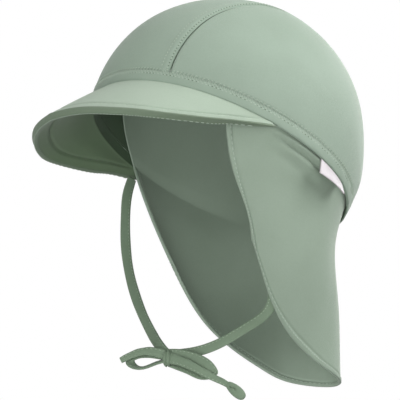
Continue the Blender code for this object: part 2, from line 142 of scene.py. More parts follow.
def bisect(rule: Callable[[float], float], low: float, high: float) -> float:
    """The place between low, where the rule is under zero, and high, where it is over it."""
    for _ in range(30):
        middle = 0.5 * (low + high)
        if rule(middle) < 0:
            low = middle
        else:
            high = middle
    return 0.5 * (low + high)


@dataclass(frozen=True)
class HeadForm:
    """The worn cap's form, in metres, as the CAD model has it."""

    half_width: float = 0.0738
    reach_front: float = 0.0860
    reach_back: float = 0.0808
    widest: float = 0.0155
    rise: float = 0.0827
    fall: float = 0.0925
    power: float = 2.1
    nape_tuck: float = 0.060
    nape_tuck_level: float = -0.0050
    nape_tuck_depth: float = 0.0280
    tilt: float = math.radians(23.5)
    nape_dip: float = 0.0070
    hem_height: float = 0.0060
    seam_gap: float = 0.0003
    seam_keys: tuple[float, ...] = (0.0, 0.25, 0.5, 0.75, 1.0)
    seam_widths: tuple[float, ...] = (0.570, 0.545, 0.425, 0.320, 0.280)

    def half_length(self, backward: float) -> float:
        """Reach to the front or to the back."""
        return self.reach_front if backward < 0 else self.reach_back

    def half_height(self, rise: float) -> float:
        """Reach above or below the widest level."""
        return self.rise if rise > 0 else self.fall

    def seam_width(self, station: float) -> float:
        """Half the centre panel's width, as a share of the head's, at a station along it."""
        return float(spline(self.seam_keys, self.seam_widths, station)[0])

    def nape_share(self, backward: float, z: float) -> float:
        """Share of the width that the drawn in nape keeps."""
        low = smoothstep((self.nape_tuck_level - z) / self.nape_tuck_depth)
        return 1 - self.nape_tuck * low * max(backward, 0.0) ** 2

    def dome(self, direction: Vector) -> Vector:
        """Find a point of the crown along a direction in scaled space, where the dome is a ball.

        Args:
            direction: Direction in that space.

        Returns:
            The point in metres.
        """
        dx, dy, dz = direction
        flat = math.hypot(dx, dy)
        reach = (flat ** self.power + abs(dz) ** self.power) ** (-1 / self.power)
        z = dz * reach * self.half_height(dz) + self.widest
        reach *= self.nape_share(dy / max(flat, 1e-9), z)
        return Vector((dx * reach * self.half_width, dy * reach * self.half_length(dy), z))

    def wall(self, angle: float, z: float, inset: float = 0.0) -> Vector:
        """Find a point of the crown at an angle from the forehead and a height.

        Args:
            angle: Angle round the head, 0 at the forehead.
            z: Height in metres.
            inset: How far inside the surface the point lies.

        Returns:
            The point in metres.
        """
        rise = z - self.widest
        share = min(abs(rise) / (self.half_height(rise) - inset), 0.999)
        flat = (1 - share ** self.power) ** (1 / self.power)
        backward = -math.cos(angle)
        flat *= self.nape_share(backward, z)
        return Vector((math.sin(angle) * flat * (self.half_width - inset),
                       backward * flat * (self.half_length(backward) - inset), z))

    def hem_level(self, y: float, above: float = 0.0) -> float:
        """Height of the hem's lower edge, or of a line a distance above it."""
        dip = self.nape_dip * (max(y, 0.0) / self.reach_back) ** 4
        return -math.tan(self.tilt) * y - dip + above / math.cos(self.tilt)

    def hem(self, angle: float, above: float = 0.0, inset: float = 0.0) -> Vector:
        """Point of the hem line at an angle from the forehead."""
        key = (round(angle, 7), round(above, 7), round(inset, 7))
        if key not in _HEM:
            y = -math.cos(angle) * self.reach_front
            for _ in range(18):
                y = 0.5 * y + 0.5 * self.wall(angle, self.hem_level(y, above), inset).y
            _HEM[key] = self.wall(angle, self.hem_level(y, above), inset)
        return _HEM[key].copy()

    def scaled(self, point: Vector) -> Vector:
        """Direction in scaled space of a point on the crown."""
        rise = point.z - self.widest
        x, y = point.x / self.half_width, point.y / self.half_length(point.y)
        full = self.nape_share(y / math.hypot(x, y), point.z)
        return Vector((x / full, y / full, rise / self.half_height(rise))).normalized()

    def strip(self, station: float, across: float, trim: float = 0.0) -> Vector:
        """Direction in scaled space of a place on the middle strip.

        Args:
            station: 0 at the forehead hem and 1 at the nape hem.
            across: From -1 to 1 between the two seams.
            trim: How far short of the seam the strip ends.

        Returns:
            The direction.
        """
        share = across * (self.seam_width(station) - trim / self.half_width)
        front, back = self._strip_ends(round(share, 5))
        return self._pitched(share, front + (back - front) * station)

    def _pitched(self, share: float, pitch: float) -> Vector:
        """Direction beside the middle by a share, at a pitch angle from the forehead over the top."""
        keep = math.sqrt(1 - share * share)
        return Vector((share, -math.cos(pitch) * keep, math.sin(pitch) * keep))

    def _strip_ends(self, share: float) -> tuple[float, float]:
        """Pitch angles at which the strip meets the hem, in front and behind."""
        if share not in _ENDS:
            def over(pitch: float) -> float:
                point = self.dome(self._pitched(share, pitch))
                return point.z - self.hem_level(point.y, self.hem_height + self.seam_gap)

            _ENDS[share] = (bisect(over, -0.8, 1.2), bisect(over, math.pi + 0.9, math.pi - 1.2))
        return _ENDS[share]


_ENDS: dict[float, tuple[float, float]] = {}
_HEM: dict[tuple[float, float, float], Vector] = {}
FORM = HeadForm()
MIDDLE = Vector((0, 0, FORM.widest))


def away(point: Vector) -> Vector:
    """Direction from the crown's middle to a point."""
    return (point - MIDDLE).normalized()


# Materials

class NodeBuilder:
    """Adds and links shader nodes of one material."""

    def __init__(self, name: str) -> None:
        """Start an empty material with a Principled shader."""
        self.material = bpy.data.materials.new(name)
        self.material.use_nodes = True
        self.tree = self.material.node_tree

    def add(self, kind: str, out: str | int, settings: dict | None = None,
            **links: object) -> bpy.types.NodeSocket:
        """Add a node with its settings and links.

        Args:
            kind: The node's type name, without ShaderNode.
            out: The output that is wanted.
            settings: Attribute values of the node.
            links: Input names, with spaces as underscores, or numbers after input_, each to an
                output socket or a constant.

        Returns:
            The output socket.
        """
        node = self.tree.nodes.new("ShaderNode" + kind)
        for key, value in (settings or {}).items():
            setattr(node, key, value)
        self._feed(node, links)
        return node.outputs[out]

    def _feed(self, node: bpy.types.Node, links: dict[str, object]) -> None:
        """Link outputs to a node's inputs, or set the inputs' constants."""
        for key, value in links.items():
            number = key.removeprefix("input_")
            socket = node.inputs[int(number) if number.isdigit() else key.replace("_", " ")]
            if isinstance(value, bpy.types.NodeSocket):
                self.tree.links.new(value, socket)
            else:
                socket.default_value = value

    def wave(self, bands: str, where: bpy.types.NodeSocket, period_mm: float, distortion: float,
             detail: float) -> bpy.types.NodeSocket:
        """Add rows of a sine along the cloth's map; a wave's period is 0.314 / scale."""
        return self.add("TexWave", "Fac", {"bands_direction": bands, "wave_profile": "SIN"},
                        Vector=where, Scale=0.314 / period_mm, Distortion=distortion, Detail=detail)

    def remap(self, value: bpy.types.NodeSocket, low: float, high: float, to_low: float,
              to_high: float) -> bpy.types.NodeSocket:
        """Add a map from one range to another."""
        return self.add("MapRange", "Result", Value=value, From_Min=low, From_Max=high,
                        To_Min=to_low, To_Max=to_high)

    def blend(self, share: bpy.types.NodeSocket, colour: str, other: str) -> bpy.types.NodeSocket:
        """Add a mix of two colours."""
        return self.add("Mix", 2, {"data_type": "RGBA"}, input_0=share, input_6=linear(colour),
                        input_7=linear(other))

    def raise_by(self, height: bpy.types.NodeSocket, strength: float,
                 distance: float) -> bpy.types.NodeSocket:
        """Add a bump."""
        return self.add("Bump", "Normal", Strength=strength, Distance=distance, Height=height)

    def shade(self, **links: object) -> bpy.types.Material:
        """Feed the Principled shader's inputs and hand over the material."""
        self._feed(self.tree.nodes["Principled BSDF"], links)
        return self.material


@dataclass(frozen=True)
class KnitCloth:
    """Warp-knitted nylon and elastane swim cloth: a very fine knit, matt with a soft sheen."""

    name: str
    colour: str
    shade: str
    wale_mm: float = 0.42
    sheen: float = 0.30
    course_share: float = 0.8
    roughness: float = 0.62
    roughness_play: float = 0.05
    mottle: float = 0.5

    def material(self) -> bpy.types.Material:
        """Build the cloth's material.

        Returns:
            The material, whose pattern reads the piece's own map in millimetres.
        """
        make = NodeBuilder(self.name)
        where = make.add("UVMap", "UV", {"uv_map": UV_NAME})
        place = make.add("TexCoord", "Object")
        # Broad, weak clouding of the dye, about 25 mm wide, then a grain of about 1 mm.
        cloud = make.add("TexNoise", "Fac", Vector=place, Scale=40.0, Detail=3.0, Roughness=0.55)
        grain = make.add("TexNoise", "Fac", Vector=place, Scale=900.0, Detail=2.0, Roughness=0.6)
        mixed = make.add("Math", 0, {"operation": "MULTIPLY_ADD"}, input_0=grain, input_1=0.45,
                         input_2=cloud)
        colour = make.blend(make.remap(mixed, 0.45, 1.0, 0.0, self.mottle), self.colour, self.shade)
        # The knit: wales along the cloth and courses across it.
        wale = make.wave("X", where, self.wale_mm, 0.6, 1.0)
        course = make.wave("Y", where, self.wale_mm * self.course_share, 0.6, 1.0)
        knit = make.add("Math", 0, {"operation": "MULTIPLY"}, input_0=wale, input_1=course)
        relief = make.add("Math", 0, {"operation": "MULTIPLY_ADD"}, input_0=grain, input_1=0.8,
                          input_2=knit)
        normal = make.raise_by(relief, 0.5, 0.00008)
        rough = make.remap(grain, 0.3, 0.7, self.roughness - self.roughness_play,
                           self.roughness + self.roughness_play)
        return make.shade(Base_Color=colour, Roughness=rough, Normal=normal, Sheen_Weight=self.sheen,
                          Sheen_Roughness=0.45, Sheen_Tint=linear("#dfe8df"),
                          Specular_IOR_Level=0.32)


@dataclass(frozen=True)
class SewingThread:
    """Textured polyester sewing thread, dyed to match the cloth, with a low gloss."""

    name: str
    colour: str
    roughness: float = 0.5

    def material(self) -> bpy.types.Material:
        """Build the thread's material.

        Returns:
            The material, with a fine twist of about 0.3 mm.
        """
        make = NodeBuilder(self.name)
        place = make.add("TexCoord", "Object")
        twist = make.add("TexNoise", "Fac", Vector=place, Scale=3200.0, Detail=1.0)
        tint = make.add("HueSaturation", "Color", Color=linear(self.colour),
                        Value=make.remap(twist, 0.3, 0.7, 0.85, 1.12))
        return make.shade(Base_Color=tint, Roughness=self.roughness, Sheen_Weight=0.2,
                          Normal=make.raise_by(twist, 0.4, 0.00005))


@dataclass(frozen=True)
class LabelSatin:
    """Woven polyester satin ribbon, bare, in a pale warm grey with a fine cross rib."""

    name: str
    colour: str
    shade: str
    rib_mm: float = 0.5

    def material(self) -> bpy.types.Material:
        """Build the ribbon's material.

        Returns:
            The material, whose rib reads the piece's own map in millimetres.
        """
        make = NodeBuilder(self.name)
        where = make.add("UVMap", "UV", {"uv_map": UV_NAME})
        rib = make.wave("X", where, self.rib_mm, 0.3, 2.0)
        speck = make.add("TexNoise", "Fac", Vector=where, Scale=1.6, Detail=3.0)
        return make.shade(Base_Color=make.blend(speck, self.colour, self.shade), Roughness=0.38,
                          Normal=make.raise_by(rib, 0.5, 0.00008), Anisotropic=0.4)


# Sage swim knit of the crown's panels and hem band, outside.
SHELL = KnitCloth("swim_knit_shell", "#8d9e8f", "#829383")
# The same knit as the neck flap.
FLAP_CLOTH = KnitCloth("swim_knit_flap", "#8f9f8f", "#849583")
# A lighter copy of the knit over the top of the peak: painted light on the side that faces up.
LIT_PEAK_TOP = KnitCloth("peak_top_painted_light_knit", "#9dad9c", "#92a391")
# The reverse of the knit inside the crown, in a darker copy that is painted shade: it stands for the shadow
# there.
INSIDE_PAINTED_SHADE = KnitCloth("swim_knit_inside_painted_shade", "#485c45", "#41553e")
# The peak's under cover, a darker copy of the knit: painted shade on the side that faces down.
SHADED_PEAK_UNDERSIDE = KnitCloth("peak_underside_painted_shade_knit", "#64785d", "#5b6f55")
# The narrow knit binding of the peak's rim.
BINDING = KnitCloth("swim_knit_binding", "#6f7f6b", "#667662", wale_mm=0.36)
# The finer folded knit of the straps and the bow.
TIE = KnitCloth("swim_knit_tie", "#768973", "#6c8069", wale_mm=0.36, sheen=0.22)
# Polyester thread in three tones, for the shell, the ties and the peak's underside; the underside's dark
# tone is painted shade.
THREAD = SewingThread("thread_shell", "#a2b2a2")
THREAD_DARK = SewingThread("thread_tie", "#9aad96")
SHADED_UNDER_THREAD = SewingThread("peak_underside_thread_painted_shade", "#4c5c49")
# The shade in a needle hole of the knit.
HOLE_PAINTED_SHADOW = SewingThread("needle_hole_shadow", "#4a5b49", roughness=0.9)
# The bare satin ribbon of the label.
LABEL = LabelSatin("label_satin", "#cfcacd", "#b9b2b6")
Finish = KnitCloth | SewingThread | LabelSatin


# Mesh helpers

def link_mesh(mesh: bmesh.types.BMesh, name: str,
              materials: Sequence[bpy.types.Material]) -> bpy.types.Object:
    """Turn a bmesh into an object at the origin, shaded smooth.

    Args:
        mesh: The finished bmesh, which is freed.
        name: The object's name.
        materials: Its materials in slot order.

    Returns:
        The linked object.
    """
    data = bpy.data.meshes.new(name)
    mesh.to_mesh(data)
    mesh.free()
    data.shade_smooth()
    for material in materials:
        data.materials.append(material)
    obj = bpy.data.objects.new(name, data)
    bpy.context.scene.collection.objects.link(obj)
    return obj


def make_piece(mesh: bmesh.types.BMesh, name: str, finishes: Sequence[Finish], slot: Slot,
               *nodes: str) -> bpy.types.Object:
    """Turn a bmesh into a piece of the cap.

    Args:
        mesh: The finished bmesh, which is freed.
        name: The piece's name.
        finishes: What it is made of, in slot order.
        slot: Its slot; not used.
        nodes: The CAD nodes that it stands for.

    Returns:
        The piece, which rides the cap's body.
    """
    obj = link_mesh(mesh, name, [finish.material() for finish in finishes])
    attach(obj, BODY)
    if nodes:
        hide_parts(*nodes)
    LOG.info("%s: %d faces", name, len(obj.data.polygons))
    return obj


def denser_ends(share: float) -> float:
    """Spacing that is closer at both ends."""
    return 0.35 * share + 0.65 * (0.5 - 0.5 * math.cos(math.pi * share))


def grid(columns: int, rows: int, place: Place, size_mm: tuple[float, float],
         dense: bool = False) -> bmesh.types.BMesh:
    """Make an open surface from a grid primitive.

    Args:
        columns: Quads along s.
        rows: Quads along t.
        place: Point of the surface for s and t from 0 to 1.
        size_mm: The cloth's own length along s and t, for its map.
        dense: Whether the quads are closer at the edges.

    Returns:
        The surface with its map in millimetres.
    """
    mesh = bmesh.new()
    bmesh.ops.create_grid(mesh, x_segments=columns, y_segments=rows, size=0.5)
    layer = mesh.loops.layers.uv.new(UV_NAME)
    shares = {}
    for vertex in mesh.verts:
        s, t = vertex.co.x + 0.5, vertex.co.y + 0.5
        shares[vertex] = (denser_ends(s), denser_ends(t)) if dense else (s, t)
    for face in mesh.faces:
        for loop in face.loops:
            s, t = shares[loop.vert]
            loop[layer].uv = (s * size_mm[0], t * size_mm[1])
    for vertex, (s, t) in shares.items():
        vertex.co = place(s, t)
    return mesh


def face_away(mesh: bmesh.types.BMesh, inside: Vector) -> None:
    """Turn an open surface's faces away from a point inside it."""
    mesh.normal_update()
    total = sum((f.calc_center_median() - inside).dot(f.normal) * f.calc_area() for f in mesh.faces)
    if total < 0:
        bmesh.ops.reverse_faces(mesh, faces=mesh.faces)
    mesh.normal_update()


def thicken(mesh: bmesh.types.BMesh, inside: Vector, wall: float) -> None:
    """Give an open surface its wall, on the side of a point inside it."""
    face_away(mesh, inside)
    bmesh.ops.solidify(mesh, geom=mesh.faces[:], thickness=wall)
    bmesh.ops.recalc_face_normals(mesh, faces=mesh.faces)


def weld(mesh: bmesh.types.BMesh, distance: float = 1e-6, fill: bool = False) -> None:
    """Join the edges of a surface that meet, and fill its open ends where asked."""
    bmesh.ops.remove_doubles(mesh, verts=mesh.verts, dist=distance)
    if fill:
        bmesh.ops.holes_fill(mesh, edges=[e for e in mesh.edges if e.is_boundary], sides=0)
    bmesh.ops.recalc_face_normals(mesh, faces=mesh.faces)


def join(parts: Sequence[bmesh.types.BMesh]) -> bmesh.types.BMesh:
    """Gather meshes into one and free them."""
    whole = bmesh.new()
    for part in parts:
        data = bpy.data.meshes.new("part")
        part.to_mesh(data)
        part.free()
        whole.from_mesh(data)
        bpy.data.meshes.remove(data)
    return whole


def mark_inside(mesh: bmesh.types.BMesh) -> None:
    """Give the faces that look towards the middle of the crown the second material, the painted shade of
    the inside.
    """
    for face in mesh.faces:
        face.material_index = int(face.normal.dot(face.calc_center_median() - MIDDLE) < 0)


@dataclass
class Stitching:
    """Rows of sewing stitches gathered into one piece."""

    name: str
    thread: SewingThread = THREAD
    slot: Slot = Slot.SHELL
    batch: int = 40
    looper: tuple[float, float] = (0.00036, 0.00034)
    straight: tuple[float, float] = (0.00066, 0.00072)
    batches: list[bmesh.types.BMesh] = field(default_factory=list)
    laid: int = 0

    def stitch(self, start: Vector, end: Vector, normal: Vector, width: float, height: float) -> None:
        """Lay one stitch from start to end on a surface.

        Args:
            start: Where the thread comes up.
            end: Where it goes down.
            normal: The cloth's outward direction.
            width: The thread's width.
            height: How far it stands up.
        """
        along = end - start
        if along.length < 1e-6:
            return
        x = along.normalized()
        z = (normal - x * normal.dot(x)).normalized()
        turn = Matrix((x, z.cross(x), z)).transposed().to_4x4()
        size = Matrix.Diagonal((along.length * 0.5, width * 0.5, height * 0.5, 1.0))
        # Small batches, because an operator slows down as its mesh grows.
        if self.laid % self.batch == 0:
            self.batches.append(bmesh.new())
        bmesh.ops.create_uvsphere(self.batches[-1], u_segments=6, v_segments=4, radius=1.0,
                                  matrix=Matrix.Translation((start + end) / 2) @ turn @ size)
        self.laid += 1

    def row(self, path: Callable[[float], Seat], length: float, pitch: float, width: float = 0.00042,
            height: float = 0.00040, sink: float = 0.00004, start: float = 0.0,
            shown: float = 0.72) -> None:
        """Sew a straight row along a path.

        Args:
            path: Point and outward direction for a share from 0 to 1.
            length: The path's length.
            pitch: Distance from stitch to stitch.
            width: The thread's width.
            height: How far it stands up.
            sink: How deep the stitch's middle lies in the cloth.
            start: The share of the pitch before a stitch.
            shown: The share of the pitch that the thread shows.
        """
        count = max(2, round(length / pitch))
        for i in range(count):
            a, normal = path((i + start) / count)
            b, _ = path(min((i + start + shown) / count, 1.0))
            self.stitch(a - normal * sink, b - normal * sink, normal, width, height)

    def cover_row(self, path: Callable[[float, float], Seat], length: float, pitch: float,
                  reach: float) -> None:
        """Sew a cover stitch: two straight rows with a looper thread zigzagging between them.

        Args:
            path: Point and outward direction for a share along and a distance to the side.
            length: The row's length.
            pitch: Distance from stitch to stitch.
            reach: Width between the two straight rows.
        """
        count = max(2, round(length / pitch))
        for i in range(count):
            near, normal = path(i / count, 0.0)
            ends = [path(min((i + share) / count, 1.0), side)[0]
                    for share, side in ((0.5, reach), (1.0, 0.0), (0.55, 0.0), (1.05, reach))]
            far, following, near_end, far_end = ends
            self.stitch(near, far, normal, *self.looper)
            self.stitch(far, following, normal, *self.looper)
            self.stitch(near, near_end, normal, *self.straight)
            self.stitch(far, far_end, normal, *self.straight)

    def holes(self, path: Callable[[float], Seat], length: float, pitch: float,
              size: float = 0.00085) -> None:
        """Mark the shaded needle holes between a row's stitches, as short flat dark dots.

        Args:
            path: Point and outward direction for a share from 0 to 1.
            length: The path's length.
            pitch: Distance from hole to hole.
            size: Length of one hole.
        """
        shown = size / length * max(2, round(length / pitch))
        self.row(path, length, pitch, size * 0.8, 0.00030, sink=0.0, start=0.62, shown=shown)

    def build(self) -> bpy.types.Object:
        """Turn the gathered stitches into a piece."""
        return make_piece(join(self.batches), self.name, [self.thread], self.slot)


# Sub-assemblies

@dataclass
class Crown:
    """The three crown panels and the turned hem band."""

    cloth: float = 0.0014
    pitch: float = 0.0022
    seam_length: float = 0.24
    hem_length: float = 0.49
    row_gap: float = 0.0032
    seam_row: float = 0.0012
    seam_valley: float = 0.00090
    seam_ridge: float = 0.00045
    wrinkle: float = 0.00035
    band_wall: float = 0.0019
    band_proud: float = 0.0003
    band_over: float = 0.0010

    def build(self) -> None:
        """Make the panels, the band and their seams."""
        self._panel(grid(120, 56, lambda s, t: self._on_strip(s, 2 * t - 1), (240.0, 80.0), True),
                    "centre_panel_cloth", "crown_centre_panel")
        for side, name in ((1, "left"), (-1, "right")):
            self._side_panel(name, side)
        self._band()
        self._stitches()

    def _panel(self, mesh: bmesh.types.BMesh, name: str, node: str) -> None:
        """Turn a panel's surface into a piece with its wall, and its inner faces in painted shade."""
        thicken(mesh, MIDDLE, self.cloth)
        mark_inside(mesh)
        make_piece(mesh, name, [SHELL, INSIDE_PAINTED_SHADE], Slot.SHELL, node)

    def _raised(self, point: Vector, from_seam: float, from_hem: float, ridge: bool) -> Vector:
        """A panel's point with the seams' relief and the faint unevenness of the stretched cloth."""
        relief = -self.seam_valley * bump(from_seam, 0.0, 0.0010)
        if ridge:
            relief += self.seam_ridge * bump(from_seam, 0.0026, 0.0018)
        else:
            relief += 0.5 * self.seam_ridge * bump(from_seam, 0.0020, 0.0014)
        relief -= 0.0006 * bump(from_hem, 0.0, 0.0009) + 0.0002 * bump(from_hem, 0.0020, 0.0005)
        return point + away(point) * (relief + self.wrinkle * noise.noise(point * 28.0))

    def _on_strip(self, station: float, across: float) -> Vector:
        """Point of the centre panel with its seams' relief."""
        point = FORM.dome(FORM.strip(station, across, trim=FORM.seam_gap / 2))
        from_seam = (1 - abs(across)) * FORM.seam_width(station) * FORM.half_width
        return self._raised(point, from_seam, min(station, 1 - station) * self.seam_length, True)

    def _outline(self, share: float, side: int) -> Vector:
        """Direction of a place on a side panel's outline: the seam, then the hem."""
        trim = -FORM.seam_gap / 2
        if share < 0.5:
            direction = FORM.strip(share * 2, 1.0, trim)
        else:
            corners = [FORM.strip(station, 1.0, trim) for station in (1.0, 0.0)]
            back, front = (math.atan2(corner.x, -corner.y) for corner in corners)
            angle = back + (front - back) * (share * 2 - 1)
            direction = FORM.scaled(FORM.hem(angle, FORM.hem_height + FORM.seam_gap))
        return Vector((direction.x * side, direction.y, direction.z))

    def _side_panel(self, name: str, side: int) -> None:
        """One side panel, drawn out from its middle to its outline."""
        middle = Vector((0.93 * side, 0.06, 0.36)).normalized()
        clear = 0.05

        def place(s: float, t: float) -> Vector:
            x, y = 2 * s - 1, 2 * t - 1
            across, up = x * math.sqrt(1 - y * y / 2), y * math.sqrt(1 - x * x / 2)
            ring = math.hypot(across, up)
            if ring < 1e-6:
                return FORM.dome(middle)
            share = ((math.pi - math.atan2(up, across)) / TURN) % 1.0
            edge = self._outline(share, side)
            point = FORM.dome(middle.slerp(edge, ring))
            gap = (FORM.dome(edge) - point).length
            from_seam, from_hem = (gap, clear) if share < 0.5 else (clear, gap)
            return self._raised(point, from_seam, from_hem, False)

        self._panel(grid(84, 84, place, (140.0, 110.0), True), f"side_panel_{name}_cloth",
                    f"crown_side_panel_{name}")

    def _band(self) -> None:
        """The turned band: a soft folded strip with a rounded lower edge."""
        half = self.band_wall / 2
        height = FORM.hem_height + self.band_over

        def place(s: float, t: float) -> Vector:
            # t runs round the strip's section, and a small swell stands for the seam's puckers.
            angle, turn = TURN * s, TURN * t
            above = height * (0.5 + 0.5 * squared(math.cos(turn), 0.35))
            swell = 0.00018 * math.sin(angle * 37) * bump(above, 0.0025, 0.002)
            swell -= 0.00022 * bump(above, FORM.hem_height - 0.0012, 0.0005)
            proud = self.band_proud * smoothstep((height - above) / 0.0025)
            depth = -proud + half - (half + swell) * squared(math.sin(turn), 0.55)
            return FORM.hem(angle, above, depth)

        mesh = grid(260, 20, place, (500.0, 16.0))
        weld(mesh)
        # The inner faces get the darker copy of the knit, painted shade for the shadow inside the crown.
        mark_inside(mesh)
        make_piece(mesh, "hem_band_cloth", [SHELL, INSIDE_PAINTED_SHADE], Slot.SHELL, "crown_hem_band")

    def _sew(self, prefix: tuple[str, str], paths: Sequence[Callable[[float, float], Seat]],
             length: float) -> None:
        """Sew cover stitches along each path, with the painted shadows of their needle holes."""
        rows, holes = Stitching(prefix[0]), Stitching(prefix[1], HOLE_PAINTED_SHADOW)
        for path in paths:
            rows.cover_row(path, length, self.pitch, self.row_gap)
            for reach in (0.0, self.row_gap):
                holes.holes(lambda share, path=path, reach=reach: path(share, reach), length, self.pitch)
        rows.build()
        holes.build()

    def _stitches(self) -> None:
        """Cover stitches beside both seams and over the joint of the band."""
        def beside(share: float, reach: float, side: int) -> Seat:
            station = 0.012 + 0.976 * share
            width = FORM.seam_width(station) * FORM.half_width
            point = self._on_strip(station, side * (1 - (self.seam_row + reach) / width))
            return point, away(point)

        def over_joint(share: float, reach: float) -> Seat:
            point = FORM.hem(TURN * share, FORM.hem_height - 0.0012 + reach, -0.00008)
            return point, away(point)

        seams = [lambda share, reach, side=side: beside(share, reach, side) for side in (1, -1)]
        self._sew(("crown_seam_stitches", "seam_needle_hole_painted_shadows"), seams, self.seam_length)
        self._sew(("hem_stitches", "hem_needle_hole_painted_shadows"), [over_joint], self.hem_length)


@dataclass
class Peak:
    """The foam-padded peak: its cover, the binding round its rim and its rows of stitches."""

    reach: float = 0.0350
    drop: float = 0.0220
    half_angle: float = math.radians(78)
    edge: float = 0.0040
    inner_share: float = 0.42
    arch: float = 0.0004
    tuck: float = 0.0009
    root_inset: float = 0.0007
    rim_round: float = 0.0006
    top_row: tuple[float, float] = (0.0072, 0.0048)
    under_row: float = 0.0095
    bead: float = 0.0010
    proud: float = 0.00022
    # Depth and width of the dips that the rows of stitches draw in, above and underneath.
    dips: tuple[tuple[float, float], ...] = ((0.0005, 0.0008), (0.0009, 0.0013))
    # Where the section's parts end: the top, the rim's turn, and the underside before the root.
    section: tuple[float, float, float] = (0.42, 0.58, 0.97)
    keys: tuple[float, ...] = (0.00, 0.20, 0.36, 0.50, 0.65, 0.80, 0.92, 1.00)
    # x as a share of the half-width, reach of the tip's reach, drop of the tip's drop
    rim: Rows = (
        (0.000, 1.000, 1.000), (0.345, 0.962, 1.070), (0.590, 0.886, 1.200), (0.742, 0.803, 1.295),
        (0.850, 0.678, 1.380), (0.930, 0.446, 1.405), (0.955, 0.300, 1.385), (0.992, 0.130, 1.400))
    _ends: dict[float, tuple[Vector, Vector]] = field(default_factory=dict)

    def surface(self, across: float, out: float) -> Vector:
        """Find a point of the peak's upper side.

        Args:
            across: From -1 to 1 along the peak.
            out: From the hem (0) to the rim (1).

        Returns:
            The point in metres.
        """
        station = round(abs(across), 6)
        if station not in self._ends:
            root = FORM.hem(self.half_angle * station, above=self.tuck, inset=self.root_inset)
            x, reach, drop = spline(self.keys, self.rim, station)
            rim = Vector((x * FORM.half_width, -reach * (FORM.reach_front + self.reach),
                          FORM.hem(0.0).z - drop * self.drop))
            self._ends[station] = (root, rim)
        root, rim = self._ends[station]
        arch = self.arch * math.sin(math.pi * out) * (1 - station ** 3)
        point = root.lerp(rim, out) + UP * arch
        return Vector((point.x * (-1 if across < 0 else 1), point.y, point.z))

    def frame_at(self, across: float, out: float, step: float = 0.01) -> tuple[Vector, Vector, Vector]:
        """Point, outward-in-plane direction and upward normal of the upper side."""
        outward = self.surface(across, min(out + step, 1.0)) - self.surface(across, max(out - step, 0.0))
        along = self.surface(min(across + step, 1.0), out) - self.surface(max(across - step, -1.0), out)
        normal = along.cross(outward).normalized()
        return self.surface(across, out), outward.normalized(), normal if normal.z >= 0 else -normal

    def depth(self, across: float) -> float:
        """Length of the peak from hem to rim."""
        return max((self.surface(across, 1.0) - self.surface(across, 0.0)).length, 0.002)

    def thickness(self, across: float, out: float) -> float:
        """Thickness of the padded peak at a place: less at the root and at both ends."""
        from_end = 1 - abs(across)
        full = smoothstep(out / 0.5) * smoothstep(from_end / 0.18)
        pinched = 0.30 + 0.70 * smoothstep(from_end / 0.06)
        return self.edge * pinched * (self.inner_share + (1 - self.inner_share) * full)

    def row_at(self, across: float) -> float:
        """Distance from the rim to the upper row of stitches."""
        front, side = self.top_row
        return front + (side - front) * smoothstep(abs(across) / 0.7)

    def build(self) -> None:
        """Make the cover, the binding and the stitches."""
        self._cover()
        self._binding()
        self._stitches()

    def _profile(self, across: float, t: float) -> Vector:
        """Point of the closed section: over the top, round the rim, back underneath and up the root."""
        top, turned, closed = self.section
        if t > closed:
            low, high = self._profile(across, closed), self._profile(across, 0.0)
            return low.lerp(high, (t - closed) / (1 - closed))
        t = t / closed
        if top <= t < turned:
            here, outward, normal = self.frame_at(across, 1.0)
            swing = math.pi * (t - top) / (turned - top)
            fall = self.thickness(across, 1.0) * (0.5 - 0.5 * math.cos(swing))
            return here + outward * self.rim_round * math.sin(swing) ** 0.6 - normal * fall
        under = t >= turned
        out = 1 - (t - turned) / top if under else t / top
        out = 1 - (1 - out) ** 1.25
        here, _, normal = self.frame_at(across, out)
        # The cover is drawn in along its two rows of stitches.
        row = self.under_row if under else self.row_at(across)
        deep, wide = self.dips[under]
        depth = self.depth(across)
        dip = deep * bump((1 - out) * depth, row, wide) * smoothstep((depth - row) / 0.006)
        return here + normal * (dip - self.thickness(across, out) if under else -dip)

    def _cover(self) -> None:
        """The padded body of the peak under its knit cover."""
        section_mm = 90.0
        mesh = grid(150, 150, lambda s, t: self._profile(2 * s - 1, t), (260.0, section_mm))
        weld(mesh, 2e-5, fill=True)
        # The lower half of the section is the under cover, in the darker copy of painted shade; the upper
        # half is the lighter copy of painted light.
        cloth_map = mesh.loops.layers.uv[UV_NAME]
        for face in mesh.faces:
            face.material_index = int(face.loops[0][cloth_map].uv.y > 0.55 * section_mm)
        obj = make_piece(mesh, "peak_cover", [LIT_PEAK_TOP, SHADED_PEAK_UNDERSIDE], Slot.SHELL, "peak")

    def _binding(self) -> None:
        """The narrow bound edge that wraps the rim: a lip above, a bead and a lip underneath."""
        lips, wrap, fade = (0.0010, 0.0011), (0.15, 0.70), 0.08

        def lip(across: float, width: float, share: float) -> tuple[float, Vector, Vector]:
            """Place out, point and normal at a share of a lip's width from the rim."""
            depth = self.depth(across)
            out = 1 - min(width, depth * 0.2) * share / depth
            here, _, normal = self.frame_at(across, out)
            return out, here, normal

